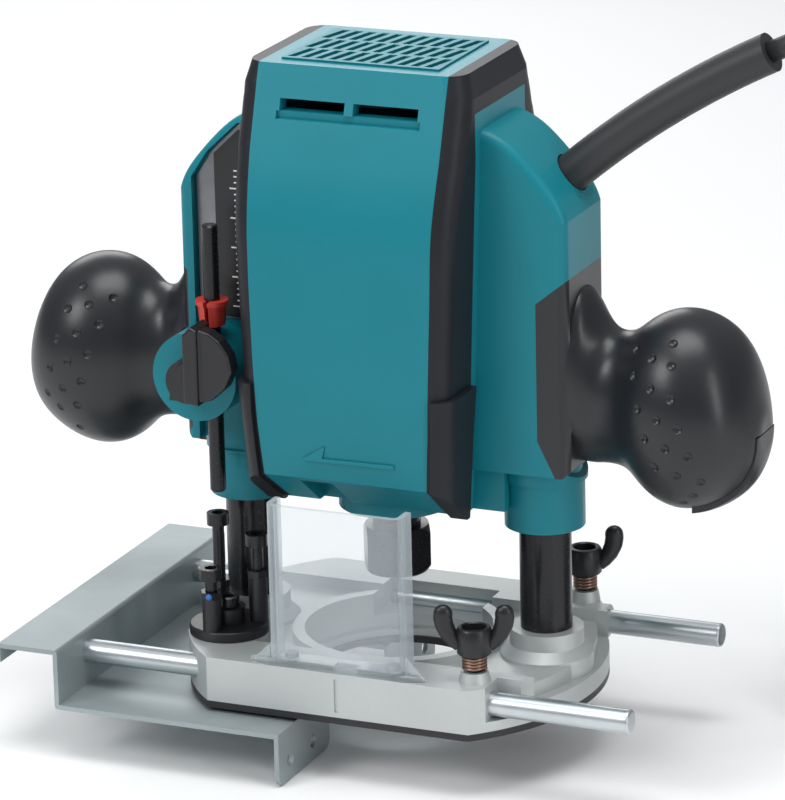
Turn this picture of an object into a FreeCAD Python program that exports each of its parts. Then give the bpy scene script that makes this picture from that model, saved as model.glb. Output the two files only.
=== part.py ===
import FreeCAD, Part
import math
import os

# Plunge router. Millimetres, +Z up, +X towards the switch handle, +Y to the back.
# The origin is on the spindle axis, in the plane of the sole.

V = FreeCAD.Vector
X = V(1, 0, 0)
Y = V(0, 1, 0)
Z = V(0, 0, 1)

# ---- driving dimensions ----
COLUMN_X = 53.0          # column axes at +-COLUMN_X on the centre plane
COLUMN_R = 8.6
COLUMN_TOP = 124.0
STROKE = 35.0            # plunge travel
BORE_TOP = 161.5         # upper end of the bores the columns run in
BOSS_TOP = 23.0          # top of the column bosses on the base
SLEEVE_BOTTOM = BOSS_TOP + STROKE + 0.6
BASE_R = 70.0
BASE_FLAT_Y = 52.5       # the round base is cut flat, front and back
SOLE_T = 2.3
BASE_TOP = 17.4
OPENING_R = 31.5         # cutter opening
ROD_R = 4.0
ROD_Y = 42.5
ROD_Z = 10.3
ROD_END_X = 99.0
FENCE_X = -96.4          # outer face of the guide's upright web
SHEET_T = 1.6
FENCE_HALF_Y = 65.0
TURRET_XY = (-50.0, -26.5)
TURRET_R = 13.2
STOP_CIRCLE_R = 10.0     # stop screws stand on this circle of the turret
DEPTH_ROD_R = 2.65
HOUSING_TOP = 213.0
CHIN_Y = 23.0            # the barrel's foot slopes in to this half depth
CHIN_BOTTOM = 66.0
BUMPER_T = 2.6
WING_HALF_Y = 17.0
WING_X = 68.0
WALL = 2.6
HANDLE_Z = 103.0
RUN = 0.05               # radial running clearance

os.makedirs("parts", exist_ok=True)


def save(name, shape):
    shape.exportStep("parts/" + name + ".step")
    print(name, len(shape.Solids), round(shape.Volume))


def box(low, high):
    size = [high[i] - low[i] for i in range(3)]
    return Part.makeBox(size[0], size[1], size[2], V(*low))


def rod(start, radius, length, axis=Z):
    return Part.makeCylinder(radius, length, V(*start), axis)


def ring(start, inner, outer, length, axis=Z):
    return rod(start, outer, length, axis).cut(rod(start, inner, length, axis))


def hexagon(centre, across_flats, height, turn=0.0):
    corner = across_flats / math.sqrt(3)
    points = []
    for i in range(7):
        angle = math.radians(60 * i + turn)
        points.append(V(centre[0] + corner * math.cos(angle), centre[1] + corner * math.sin(angle),
                        centre[2]))
    return Part.Face(Part.makePolygon(points)).extrude(Z * height)


def slab_xz(points, y_low, y_high):
    """A prism across Y with an outline of (x, z) points."""
    wire = Part.makePolygon([V(x, y_low, z) for x, z in points + points[:1]])
    return Part.Face(wire).extrude(Y * (y_high - y_low))


def slab_yz(points, x_low, x_high):
    """A prism along X with an outline of (y, z) points."""
    wire = Part.makePolygon([V(x_low, y, z) for y, z in points + points[:1]])
    return Part.Face(wire).extrude(X * (x_high - x_low))


def slab_xy(points, z_low, z_high):
    """An upright prism with an outline of (x, y) points."""
    wire = Part.makePolygon([V(x, y, z_low) for x, y in points + points[:1]])
    return Part.Face(wire).extrude(Z * (z_high - z_low))


def mirror_x(shape):
    return shape.mirror(V(0, 0, 0), X)


def group(pieces):
    return Part.makeCompound(pieces)


def round_edges(shape, radius, test):
    """Fillet the edges that test accepts; each one alone if they fail together."""
    edges = [edge for edge in shape.Edges if test(edge)]
    try:
        rounded = shape.makeFillet(radius, edges)
        if rounded.isValid() and rounded.Volume > 0:
            return rounded
    except Part.OCCError:
        print("fillet left out", radius)
    return shape


def upright(edge):
    ends = [vertex.Point for vertex in edge.Vertexes]
    return len(ends) == 2 and abs(ends[0].x - ends[1].x) < 0.01 and abs(ends[0].y - ends[1].y) < 0.01


def cap_screw(centre, head_r, head_h, shank_r, length):
    """Socket cap screw pointing down, with its head's underside at the centre."""
    x, y, z = centre
    screw = rod((x, y, z), head_r, head_h).fuse(rod((x, y, z - length), shank_r, length))
    return screw.cut(hexagon((x, y, z + 0.4 * head_h), head_r, head_h))


def pan_screw(start, axis, head_r, shank_r, length):
    """Pan-head screw: axis points from the head's underside to the tip."""
    head = Part.makeCylinder(head_r, 2.2, V(*start) - axis * 2.2, axis)
    screw = head.fuse(Part.makeCylinder(shank_r, length, V(*start), axis))
    slot_depth = 1.0
    recess = Part.makeCylinder(head_r * 0.35, slot_depth, V(*start) - axis * 2.2, axis)
    return screw.cut(recess)


# ---- base: sole, casting, columns ----

def base_plan(radius, flat_y, z_low, z_high):
    disc = rod((0, 0, z_low), radius, z_high - z_low)
    strip = box((-radius, -flat_y, z_low), (radius, flat_y, z_high))
    return disc.common(strip)


CASTING_Z = SOLE_T
sole = base_plan(BASE_R, BASE_FLAT_Y, 0, SOLE_T)
sole = sole.cut(rod((0, 0, 0), 27.5, SOLE_T))
SOLE_SCREWS = [(-34, -34), (34, -34), (-34, 34), (34, 34)]
for sx, sy in SOLE_SCREWS:
    sole = sole.cut(rod((sx, sy, 0), 2.2, SOLE_T))
    sole = sole.cut(Part.makeCone(4.2, 2.2, 1.8, V(sx, sy, 0), Z))
sole = round_edges(sole, 1.2, lambda e: upright(e) and e.Vertexes[0].Point.Length > 60)
save("sole_plate", sole)

screws = []
for sx, sy in SOLE_SCREWS:
    head = Part.makeCone(4.1, 2.0, 1.75, V(sx, sy, 0.05), Z)
    screw = head.fuse(rod((sx, sy, 1.8), 2.0, 7.0))
    screws.append(screw.cut(rod((sx, sy, 0), 1.2, 1.0)))
save("sole_screws", group(screws))

casting = base_plan(BASE_R, BASE_FLAT_Y, CASTING_Z, 8.5)
casting = casting.fuse(base_plan(BASE_R - 4.0, BASE_FLAT_Y - 1.0, CASTING_Z, 13.5))
for side in (-1, 1):
    low_y = min(side * BASE_FLAT_Y, side * 33.0)
    high_y = max(side * BASE_FLAT_Y, side * 33.0)
    beam = base_plan(BASE_R, BASE_FLAT_Y, CASTING_Z, BASE_TOP)
    casting = casting.fuse(beam.common(box((-80, low_y, 0), (80, high_y, 30))))
    casting = casting.fuse(rod((side * COLUMN_X, 0, CASTING_Z), 15.5, 14.5 - CASTING_Z))
    casting = casting.fuse(Part.makeCone(15.5, 12.3, 3.0, V(side * COLUMN_X, 0, 14.5), Z))
    casting = casting.fuse(rod((side * COLUMN_X, 0, 17.4), 12.3, 3.2))
    casting = casting.fuse(rod((side * COLUMN_X, 0, 20.5), 12.3, BOSS_TOP - 20.5))
collar_z = BASE_TOP - 0.8
casting = casting.fuse(rod((0, 0, CASTING_Z), OPENING_R + 4.0, collar_z - CASTING_Z))
casting = casting.fuse(rod((TURRET_XY[0], TURRET_XY[1], CASTING_Z), 13.6, BASE_TOP - CASTING_Z))
casting = casting.common(base_plan(BASE_R, BASE_FLAT_Y, 0, 40))
casting = casting.removeSplitter()
# The opening is stepped: a wide mouth over the narrower guide seat.
casting = casting.cut(rod((0, 0, CASTING_Z), OPENING_R, 30))
seat = ring((0, 0, CASTING_Z), 28.5, OPENING_R + 0.5, 2.2)
casting = casting.fuse(seat)
# A scoop at the back of the opening lets the chips be seen.
casting = casting.cut(box((-20, 24, 9.0), (20, 40, 40)))
# The rear rod leaves through a round boss, the front one through an open slot.
casting = casting.fuse(rod((46, ROD_Y, ROD_Z), 5.8, 12.2, X))
casting = casting.cut(box((50.8, -60, 5.6), (80, -37.6, 30)))
for side in (-1, 1):
    casting = casting.cut(rod((side * COLUMN_X, 0, CASTING_Z), COLUMN_R, 40))
    casting = casting.cut(rod((-90, side * ROD_Y, ROD_Z), ROD_R + RUN, 180, X))
for sx, sy in SOLE_SCREWS:
    casting = casting.cut(rod((sx, sy, CASTING_Z), 2.0, 6.6))
# Fine index groove on the front wall, in line with the spindle.
casting = casting.cut(box((-0.6, -BASE_FLAT_Y - 1, 4), (0.6, -BASE_FLAT_Y + 0.5, BASE_TOP - 2)))
CLAMP_FRONT = (45.0, -ROD_Y)
CLAMP_REAR = (50.0, ROD_Y)
CLAMPS = (CLAMP_FRONT, CLAMP_REAR)
CLAMP_BOSS_TOP = 21.0
for cx, cy in CLAMPS:
    boss = Part.makeCone(5.6, 4.4, CLAMP_BOSS_TOP - BASE_TOP + 1, V(cx, cy, BASE_TOP - 1), Z)
    casting = casting.fuse(boss.common(base_plan(BASE_R, BASE_FLAT_Y, 0, 40)))
    casting = casting.cut(rod((cx, cy, ROD_Z), 2.6, 20))
casting = casting.cut(rod((TURRET_XY[0], TURRET_XY[1], 8.0), 2.55, 20))
for fx in (-18.0, 18.0):
    casting = casting.cut(rod((fx, -46.5, 15.0), 1.25, 20))
save("base_casting", casting)

for name, side in (("column_left", -1), ("column_right", 1)):
    column = rod((side * COLUMN_X, 0, CASTING_Z), COLUMN_R, COLUMN_TOP - CASTING_Z)
    column = column.makeChamfer(0.8, [column.Edges[0]])
    column = column.cut(rod((side * COLUMN_X, 0, 12), 6.2, 200))
    save(name, column)
    spring = ring((side * COLUMN_X, 0, 12.1), 3.6, 5.6, BORE_TOP - 12.2)
    save("plunge_spring_" + name.split("_")[1], spring)

# ---- clear chip deflector on the front of the base ----
DEFLECTOR_X = 24.0
DEFLECTOR_TOP = 72.5
front_y = -52.3
shield = box((-DEFLECTOR_X, front_y, BASE_TOP), (DEFLECTOR_X, front_y + 9.2, DEFLECTOR_TOP))
shield = round_edges(shield, 3.5, lambda e: upright(e) and e.Vertexes[0].Point.y < front_y + 1)
hollow = box((-DEFLECTOR_X + 2, front_y + 2, BASE_TOP - 1),
             (DEFLECTOR_X - 2, front_y + 30, DEFLECTOR_TOP + 1))
hollow = round_edges(hollow, 1.6, lambda e: upright(e) and e.Vertexes[0].Point.y < front_y + 4)
shield = shield.cut(hollow)
foot = box((-DEFLECTOR_X, front_y, BASE_TOP), (DEFLECTOR_X, front_y + 9.0, BASE_TOP + 1.8))
for side in (-1, 1):
    tab = slab_xy([(side * DEFLECTOR_X, front_y), (side * (DEFLECTOR_X + 7), front_y + 2),
                   (side * DEFLECTOR_X, front_y + 9)], BASE_TOP, BASE_TOP + 1.8)
    web = slab_xz([(side * DEFLECTOR_X, BASE_TOP), (side * (DEFLECTOR_X + 7), BASE_TOP),
                   (side * DEFLECTOR_X, BASE_TOP + 7)], front_y + 2, front_y + 3.6)
    shield = shield.fuse(tab).fuse(web)
foot = foot.cut(box((-1.5, front_y + 2.4, BASE_TOP - 1), (6.5, front_y + 6, BASE_TOP + 4)))
for fx in (-18.0, 18.0):
    foot = foot.cut(rod((fx, -46.5, BASE_TOP - 1), 1.6, 6))
shield = shield.fuse(foot).removeSplitter()
save("chip_deflector", shield)

pins = []
for fx in (-18.0, 18.0):
    pins.append(rod((fx, -46.5, BASE_TOP + 1.8), 2.3, 1.6).fuse(rod((fx, -46.5, 15.2), 1.2, 4.0)))
save("deflector_screws", group(pins))

# ---- stop turret with its three screws ----
tx, ty = TURRET_XY
disc_z = BASE_TOP + 0.3
turret = rod((tx, ty, disc_z), TURRET_R, 3.2)
turret = round_edges(turret, 0.9, lambda e: e.Closed and e.Vertexes[0].Point.z > disc_z + 2)
turret = turret.fuse(rod((tx, ty, disc_z), 5.6, 8.5))
STOP_ANGLES = (131.0, 20.0, 262.0)
STOP_HEADS = (55.6, 51.4, 42.5)
STOP_BOSSES = (30.0, 36.5, 32.0)
stops = []
for angle, boss_top in zip(STOP_ANGLES, STOP_BOSSES):
    px = tx + STOP_CIRCLE_R * math.cos(math.radians(angle))
    py = ty + STOP_CIRCLE_R * math.sin(math.radians(angle))
    stops.append((px, py))
    turret = turret.fuse(rod((px, py, disc_z), 3.15, boss_top - disc_z))
turret = turret.cut(rod((tx, ty, 0), 2.6, 80))
for px, py in stops:
    turret = turret.cut(rod((px, py, disc_z + 1.2), 2.05, 60))
save("stop_turret", turret)
hub_top = disc_z + 8.5
save("turret_screw", cap_screw((tx, ty, hub_top + 0.3), 3.8, 3.0, 2.5, hub_top - 9.0))

nuts = []
for number, ((px, py), head_z, boss_top) in enumerate(zip(stops, STOP_HEADS, STOP_BOSSES)):
    length = head_z - 4.0 - disc_z - 2.0
    save("stop_screw_%d" % (number + 1), cap_screw((px, py, head_z - 4.0), 3.7, 4.0, 2.0, length))
    nut = hexagon((px, py, boss_top + 0.05), 6.4, 2.4).cut(rod((px, py, boss_top - 1), 2.05, 8))
    nuts.append(nut)
save("stop_lock_nuts", group(nuts))

# ---- rod clamp screws ----
clamp_springs = []
for name, (cx, cy) in (("front", CLAMP_FRONT), ("rear", CLAMP_REAR)):
    tip = ROD_Z + ROD_R + 0.1
    screw = rod((cx, cy, tip), 2.5, 27.0 - tip)
    hub = rod((cx, cy, 27.0), 5.6, 9.0)
    hub = round_edges(hub, 1.0, lambda e: e.Closed and abs(e.Vertexes[0].Point.z - 36) < 0.1)
    screw = screw.fuse(hub).cut(rod((cx, cy, 34.0), 3.6, 4))
    for turn in (20.0, 200.0):
        wing = slab_xz([(4.0, 28.5), (8.5, 31.5), (12.4, 35.0), (12.6, 41.0), (10.6, 43.6),
                        (7.4, 42.5), (6.2, 38.0), (4.0, 35.0)], -2.0, 2.0)
        wing = round_edges(wing, 1.2, lambda e: abs(e.tangentAt(e.FirstParameter).y) > 0.9)
        wing.rotate(V(0, 0, 0), Z, turn)
        wing.translate(V(cx, cy, 0))
        screw = screw.fuse(wing)
    save("clamp_screw_" + name, screw.removeSplitter())
    clamp_springs.append(ring((cx, cy, CLAMP_BOSS_TOP + 0.05), 3.05, 4.15, 26.95 - CLAMP_BOSS_TOP))
save("clamp_springs", group(clamp_springs))

# ---- straight guide: folded sheet fence on two round rods ----
WEB_TOP = 17.7
LEDGE_TOP = -1.4
LIP_BOTTOM = -19.6
LEDGE_END = -15.2
t = SHEET_T
profile = [
    (FENCE_X - 21.0, WEB_TOP - 6.5), (FENCE_X - 21.0 + t, WEB_TOP - 6.5),
    (FENCE_X - 21.0 + t, WEB_TOP - t), (FENCE_X, WEB_TOP - t),
    (FENCE_X, LEDGE_TOP - t), (LEDGE_END, LEDGE_TOP - t), (LEDGE_END, LEDGE_TOP),
    (FENCE_X + t, LEDGE_TOP), (FENCE_X + t, WEB_TOP), (FENCE_X - 21.0, WEB_TOP)]
fence = slab_xz(profile, -FENCE_HALF_Y, FENCE_HALF_Y)
fence = round_edges(fence, 1.3, lambda e: abs(e.tangentAt(e.FirstParameter).y) > 0.9
                    and any(abs(e.Vertexes[0].Point.x - k) < 0.01 and abs(e.Vertexes[0].Point.z - m) < 0.01
                            for k, m in ((FENCE_X - 21.0, WEB_TOP), (FENCE_X + t, WEB_TOP),
                                         (FENCE_X, LEDGE_TOP - t))))
cut_x = -48.0
fence = fence.cut(box((cut_x, -24.0, LEDGE_TOP - 5), (0, 24.0, LEDGE_TOP + 1)))
fence = fence.cut(rod((cut_x, 0, LEDGE_TOP - 5), 24.0, 10))
for side in (-1, 1):
    low_y = min(side * FENCE_HALF_Y, side * 25.0)
    lip = box((LEDGE_END - t, low_y, LIP_BOTTOM), (LEDGE_END, low_y + FENCE_HALF_Y - 25.0, LEDGE_TOP - t))
    lip = lip.fuse(box((LEDGE_END - t, low_y, LEDGE_TOP - t), (LEDGE_END, low_y + 40, LEDGE_TOP)))
    lip = round_edges(lip, 3.0, lambda e: abs(e.tangentAt(e.FirstParameter).x) > 0.9
                      and e.Vertexes[0].Point.z < LIP_BOTTOM + 1)
    for hy in (38.0, 56.0):
        lip = lip.cut(rod((LEDGE_END - 5, side * hy, -13.0), 2.5, 10, X))
    fence = fence.fuse(lip)
for side in (-1, 1):
    fence = fence.cut(rod((FENCE_X - 5, side * ROD_Y, ROD_Z), ROD_R - 0.6, 12, X))
    fence = fence.cut(rod((-34.0, side * 44.0, LEDGE_TOP - 5), 2.4, 10))
save("guide_fence", fence.removeSplitter())

bars = []
for side in (-1, 1):
    bar = rod((FENCE_X + t, side * ROD_Y, ROD_Z), ROD_R, ROD_END_X - FENCE_X - t, X)
    bar = round_edges(bar, 0.9, lambda e: e.Closed and e.Vertexes[0].Point.x > 0)
    bar = bar.fuse(rod((FENCE_X - 1.2, side * ROD_Y, ROD_Z), ROD_R - 0.6, t + 2.0, X))
    bars.append(bar)
save("guide_rods", group(bars))

# ---- motor housing: barrel, wings, sleeves and nose ----
# Side profile of the barrel (y, z); the back mirrors the front.
half = [(26.5, HOUSING_TOP), (29.7, 203), (33.0, 193), (36.6, 182), (39.4, 172), (41.3, 162),
        (42.0, 150), (41.8, 90), (40.7, 79)]
# Front outlines (x, z) of the whole barrel and of its panel between the bumpers.
BARREL_EDGE = [(37, 215), (39.5, 205), (39.5, 185), (38.6, 165), (37.5, 138), (36.6, 114), (35.5, 94),
               (33.8, 64)]
PANEL_EDGE = [(32.5, 232), (32.3, 186), (31.5, 166), (31.0, 141), (30.2, 117), (29.4, 97), (28.3, 82),
              (26.6, 58)]


def barrel(inset, x_low, x_high):
    """Barrel slab between two X planes, its outline drawn in by a constant inset."""
    front = [V(x_low, -(y - inset), z) for y, z in half]
    front[0] = V(x_low, -(half[0][0] - inset * 0.7), HOUSING_TOP - inset)
    front[-1] = V(x_low, -(half[-1][0] - inset), half[-1][1] + inset * 0.4)
    back = [V(x_low, -p.y, p.z) for p in reversed(front)]
    curves = []
    for points in (front, back):
        curve = Part.BSplineCurve()
        curve.interpolate(points)
        curves.append(curve.toShape())
    chin_front = V(x_low, -(CHIN_Y - inset * 0.4), CHIN_BOTTOM + inset)
    chin_back = V(x_low, -chin_front.y, chin_front.z)
    floor = Part.makePolygon([front[-1], chin_front, chin_back, back[0]])
    top = Part.makeLine(back[-1], front[0])
    wire = Part.Wire([curves[0]] + floor.Edges + [curves[1], top])
    return Part.Face(wire).extrude(X * (x_high - x_low))


def between(edge, inset):
    """Slab across Y between a front outline and its mirror image, drawn in sideways by an inset."""
    right_side = [(x - inset, z) for x, z in edge]
    return slab_xz(right_side + [(-x, z) for x, z in reversed(right_side)], -60, 60)


body = barrel(0, -42, 42).common(between(BARREL_EDGE, 0))
body = round_edges(body, 7.2, lambda e: e.BoundBox.XMin * e.BoundBox.XMax > 0
                   and abs(e.BoundBox.Center.x) > 33 and e.BoundBox.XLength < 4.0 and e.BoundBox.ZMin > 77 and e.BoundBox.YLength < 30)
shoulder = Part.BSplineCurve()
shoulder.interpolate([V(x, -WING_HALF_Y, z) for x, z in (
    (30, 194.4), (37, 194.2), (43, 192.8), (49, 189.4), (55, 184.0), (61, 177.4), (65.5, 171.3), (WING_X, 165.5))])
wing_edge = Part.makePolygon([V(x, -WING_HALF_Y, z) for x, z in (
    (WING_X, 165.5), (WING_X, 82), (66, 80), (30, 80), (30, 194.4))])
wing = Part.Face(Part.Wire([shoulder.toShape()] + wing_edge.Edges)).extrude(Y * 2 * WING_HALF_Y)
wing = round_edges(wing, 3.2, lambda e: abs(e.tangentAt(e.FirstParameter).y) < 0.1
                   and (e.BoundBox.ZMax > 190 and e.BoundBox.XLength > 20 or upright(e) and e.BoundBox.XMin > 60))
sleeve = rod((COLUMN_X, 0, SLEEVE_BOTTOM), 13.3, 90 - SLEEVE_BOTTOM).fuse(rod((COLUMN_X, 0, 75.0), 14.3, 9))
deck = box((-45, -15, 66), (45, 15, 84))
nose = rod((0, 0, 60), 19.0, 25)
# Under the front panel the foot is open between a gusset and the nose, and again behind.
for side in (-1, 1):
    low_y = min(side * 42, side * 19.5)
    body = body.cut(box((-17, low_y, 60), (-5.5, low_y + 22.5, 77.4)))
outer = body.fuse([wing, mirror_x(wing), sleeve, mirror_x(sleeve), deck, nose])

cavity = barrel(WALL + BUMPER_T, -50, 50).common(between(BARREL_EDGE, WALL + BUMPER_T))
cavity = cavity.common(box((-34.3, -60, 86), (34.3, 60, 215)))
shell = outer.cut(cavity)
for side in (-1, 1):
    shell = shell.cut(rod((side * COLUMN_X, 0, 40), COLUMN_R + 0.4, BORE_TOP - 40))
    shell = shell.cut(rod((side * COLUMN_X, 0, 40), 11.0, 76 - 40))
    shell = shell.cut(rod((side * COLUMN_X, 0, 112), 11.0, 14))
# The left wing is set back at the front for the depth rod and its scale.
shell = shell.cut(slab_xz([(-63, 76), (-39.2, 76), (-39.2, 190), (-46, 189.2), (-57, 179), (-63, 170)],
                          -30, -13))
DEPTH_ROD_XY = (-52.6, -25.9)
CLAMP_X = -57.5
CLAMP_Z = 106.0
CLAMP_BOSS_R = 15.0
CLAMP_FACE_Y = -31.0
clamp_boss = rod((CLAMP_X, CLAMP_FACE_Y, CLAMP_Z), CLAMP_BOSS_R, -13.0 - CLAMP_FACE_Y, Y)
shell = shell.fuse(clamp_boss.cut(rod((CLAMP_X, -40, CLAMP_Z), 2.3, 30, Y)))
shell = shell.cut(rod((DEPTH_ROD_XY[0], DEPTH_ROD_XY[1], 60), DEPTH_ROD_R + RUN, 130))
# Screw posts across the barrel, counterbored from behind.
SCREW_POSTS = [(-24.2, 87.0, 37.0), (24.2, 87.0, 37.0), (-24.2, 178.0, 32.5), (24.2, 178.0, 32.5)]
for post_x, post_z, seat_y in SCREW_POSTS:
    post = rod((post_x, -seat_y, post_z), 4.2, 2 * seat_y, Y)
    shell = shell.fuse(post)
    shell = shell.cut(rod((post_x, seat_y, post_z), 3.9, 20, Y))
    shell = shell.cut(rod((post_x, -14, post_z), 1.65, 80, Y))
shell = shell.cut(rod((-COLUMN_X, 11.6, 71.0), 3.05, 20, Y))
# Spindle bore with its two bearing seats, and the inside of the nose.
shell = shell.cut(rod((0, 0, 50), 9.5, 40))
shell = shell.cut(rod((0, 0, 64), 14.05, 13))
# Cooling air slot across the front, in two halves.
for low_x, high_x in ((-24.0, -1.5), (1.5, 24.0)):
    shell = shell.cut(box((low_x, -60, 198.5), (high_x, 0, 202.5)))
shell = shell.cut(box((-25.0, -60, 196.0), (25.0, -30.4, 198.6)))
# The top is closed by its own louvred grille.
GRILLE_X = 27.5
GRILLE_Y = 21.0
shell = shell.cut(box((-GRILLE_X, -GRILLE_Y, 196), (GRILLE_X, GRILLE_Y, 220)))
# The right handle's rubber-covered root replaces the outer face of its wing.
ROOT_RIGHT = [(57.5, 138), (75, 152), (75, 70), (64, 79), (57.5, 92)]
ROOT_LEFT = [(65.5, 138), (75, 142), (75, 70), (70, 79), (65.5, 84)]
root_right = slab_xz(ROOT_RIGHT, -30, 30)
root_left = mirror_x(slab_xz(ROOT_LEFT, -30, 30))
wing_right = wing
wing_left = mirror_x(wing)
shoe_right = wing_right.common(root_right).cut(rod((COLUMN_X, 0, 40), 13.0, 140))
shoe_left = wing_left.common(root_left).cut(rod((-COLUMN_X, 0, 40), 13.0, 140))
shell = shell.cut(root_right).cut(root_left)
core = rod((COLUMN_X, 0, 76), 12.6, 70).cut(rod((COLUMN_X, 0, 70), COLUMN_R + 0.4, 90))
core = core.cut(rod((COLUMN_X, 0, 112), 11.0, 14))
shell = shell.fuse(core.common(root_right))
GUARD_START = V(56.5, 6.0, 171.5)
GUARD_TILT = 42.2        # degrees above level where the cord guard leaves the wing
GUARD_TURN = 16.0        # it droops by this much along its length
GUARD_LENGTH = 88.0
guard_axis = V(math.cos(math.radians(GUARD_TILT)), 0, math.sin(math.radians(GUARD_TILT)))
shell = shell.cut(Part.makeCylinder(6.9, 60, GUARD_START - guard_axis, guard_axis))
collar = Part.makeCylinder(9.6, 10.5, GUARD_START - guard_axis * 4, guard_axis)
shell = shell.fuse(collar.cut(Part.makeCylinder(6.9, 80, GUARD_START - guard_axis * 20, guard_axis)))
shell = shell.cut(rod((COLUMN_X, 0, 40), COLUMN_R + 0.4, BORE_TOP - 40))
inside = barrel(BUMPER_T, -50, 50).common(between(BARREL_EDGE, BUMPER_T))
bumper_right = body.cut(inside).cut(between(PANEL_EDGE, 0)).common(box((0, -60, 60), (60, 60, 230)))
bumper_right = bumper_right.cut(box((0, -WING_HALF_Y - 4, 0), (60, WING_HALF_Y + 4, 200)))
# A fine groove runs between the panel and each bumper.
bumper_right = bumper_right.cut(between(PANEL_EDGE, -0.5).cut(barrel(0.8, -50, 50)))
# The lower end of each bumper stands proud as a thicker block.
block = barrel(-1.1, -50, 50).common(between([(38.4, 110), (37.1, 94), (35.3, 64)], 0))
block = round_edges(block, 7.0, lambda e: e.BoundBox.XMin > 33 and e.BoundBox.ZMin > 77
                    and e.BoundBox.YLength < 20 and e.BoundBox.XLength < 4)
block = block.cut(between([(31.9, 230), (31.4, 100), (29.2, 60)], 0)).cut(body)
block = block.common(box((0, -60, 60), (60, -WING_HALF_Y - 4, 110)))
bumper_right = bumper_right.fuse(block).fuse(block.mirror(V(0, 0, 0), Y)).removeSplitter()
print("bumper", len(bumper_right.Solids), bumper_right.isValid())
bumper_left = mirror_x(bumper_right)
shell = shell.cut(bumper_right).cut(bumper_left)
for name, low_y, high_y in (("housing_front", -80, 0), ("housing_rear", 0, 80)):
    half_shell = shell.common(box((-100, low_y, 0), (100, high_y, 260)))
    save(name, max(half_shell.Solids, key=lambda s: s.Volume))
save("bumper_left", bumper_left)
save("bumper_right", bumper_right)

grille = box((-GRILLE_X + 0.2, -GRILLE_Y + 0.2, HOUSING_TOP - 3.6),
             (GRILLE_X - 0.2, GRILLE_Y - 0.2, HOUSING_TOP + 0.6))
for row in range(3):
    low_y = -GRILLE_Y + 2.0 + row * 13.3
    for number in range(11):
        low_x = -GRILLE_X + 1.4 + number * 4.75
        slot = slab_xy([(low_x, low_y), (low_x + 2.7, low_y), (low_x + 5.2, low_y + 11.6),
                        (low_x + 2.5, low_y + 11.6)], HOUSING_TOP - 5, HOUSING_TOP + 2)
        grille = grille.cut(slot)
save("top_vent_grille", grille)

bushes = []
for side in (-1, 1):
    for low_z in (SLEEVE_BOTTOM + 1.0, 112.2):
        height = 75.8 - low_z if low_z < 100 else 13.6
        bushes.append(ring((side * COLUMN_X, 0, low_z), COLUMN_R + RUN, 11.0, height))
save("column_bushes", group(bushes))

# ---- handles: two half shells each, lofted from the wing out to a ball ----
# Sections along X: distance, centre height, half height, half depth.
HANDLE = [
    (60.0, 112.5, 30.5, 16.0), (67.0, 111.5, 29.5, 16.2), (72.0, 108.8, 27.0, 15.8),
    (77.7, 105.0, 22.8, 15.4),
    (84.0, 104.0, 23.0, 17.5), (90.0, 103.5, 27.5, 21.5), (97.0, 103.2, 31.7, 25.0),
    (104.0, 103.1, 32.8, 26.4), (112.0, 103.0, 31.0, 25.6), (119.0, 102.3, 26.6, 22.6),
    (125.0, 100.0, 18.8, 16.5), (128.6, 98.0, 9.5, 9.0), (129.6, 97.6, 3.0, 3.0)]


def handle_solid(inset, first, last):
    wires = []
    for x, centre_z, half_z, half_y in HANDLE[first:last]:
        a, b = half_z - inset, half_y - inset
        ellipse = Part.Ellipse(V(0, 0, 0), a, b)
        edge = ellipse.toShape()
        edge.Placement = FreeCAD.Placement(V(x, 0, centre_z),
                                           FreeCAD.Rotation(V(0, 0, -1), V(0, 1, 0), V(1, 0, 0)))
        wires.append(Part.Wire(edge))
    return Part.makeLoft(wires, True, False)


knob = handle_solid(0, 0, len(HANDLE))
knob_hollow = handle_solid(3.2, 1, len(HANDLE) - 2)
print("knob", knob.isValid(), round(knob.Volume), round(knob.BoundBox.XMax, 1),
      round(knob.BoundBox.ZMin, 1), round(knob.BoundBox.ZMax, 1))
TRIGGER_Y = 8.0
trigger_slot = box((103, -TRIGGER_Y - 0.4, 60), (140, TRIGGER_Y + 0.4, 98.4))
for side_name, sign, shoe in (("right", 1, shoe_right), ("left", -1, shoe_left)):
    solid = knob if sign > 0 else mirror_x(knob)
    hollow = knob_hollow if sign > 0 else mirror_x(knob_hollow)
    plain = solid.cut(wing_right if sign > 0 else wing_left)
    if sign < 0:
        plain = plain.cut(rod((CLAMP_X, -60, CLAMP_Z), CLAMP_BOSS_R + 0.3, 60 + WING_HALF_Y - 30, Y))
    full = plain.fuse(shoe).cut(hollow)
    if sign > 0:
        full = full.cut(trigger_slot)
    for half_name, low_y, high_y in (("front", -80, 0), ("rear", 0, 80)):
        piece = full.common(box((-200, low_y, 0), (200, high_y, 260)))
        print("handle", side_name, half_name, len(piece.Solids))
        save("handle_%s_%s" % (side_name, half_name), max(piece.Solids, key=lambda s: s.Volume))

trigger = handle_solid(-1.6, 5, len(HANDLE)).common(box((107, -TRIGGER_Y, 60), (140, TRIGGER_Y, 98)))
trigger = trigger.cut(handle_solid(2.0, 5, len(HANDLE) - 1))
stem = box((104.4, -3, 87), (132, 3, 92)).common(handle_solid(-1.0, 5, len(HANDLE)))
save("switch_trigger", trigger.fuse(stem).removeSplitter())
save("switch_body", box((86.5, -7.0, 87), (100.4, 7.0, 108)))
save("trigger_spring", ring((108.5, 0, 98.6), 2.0, 2.8, 4.4))

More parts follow.
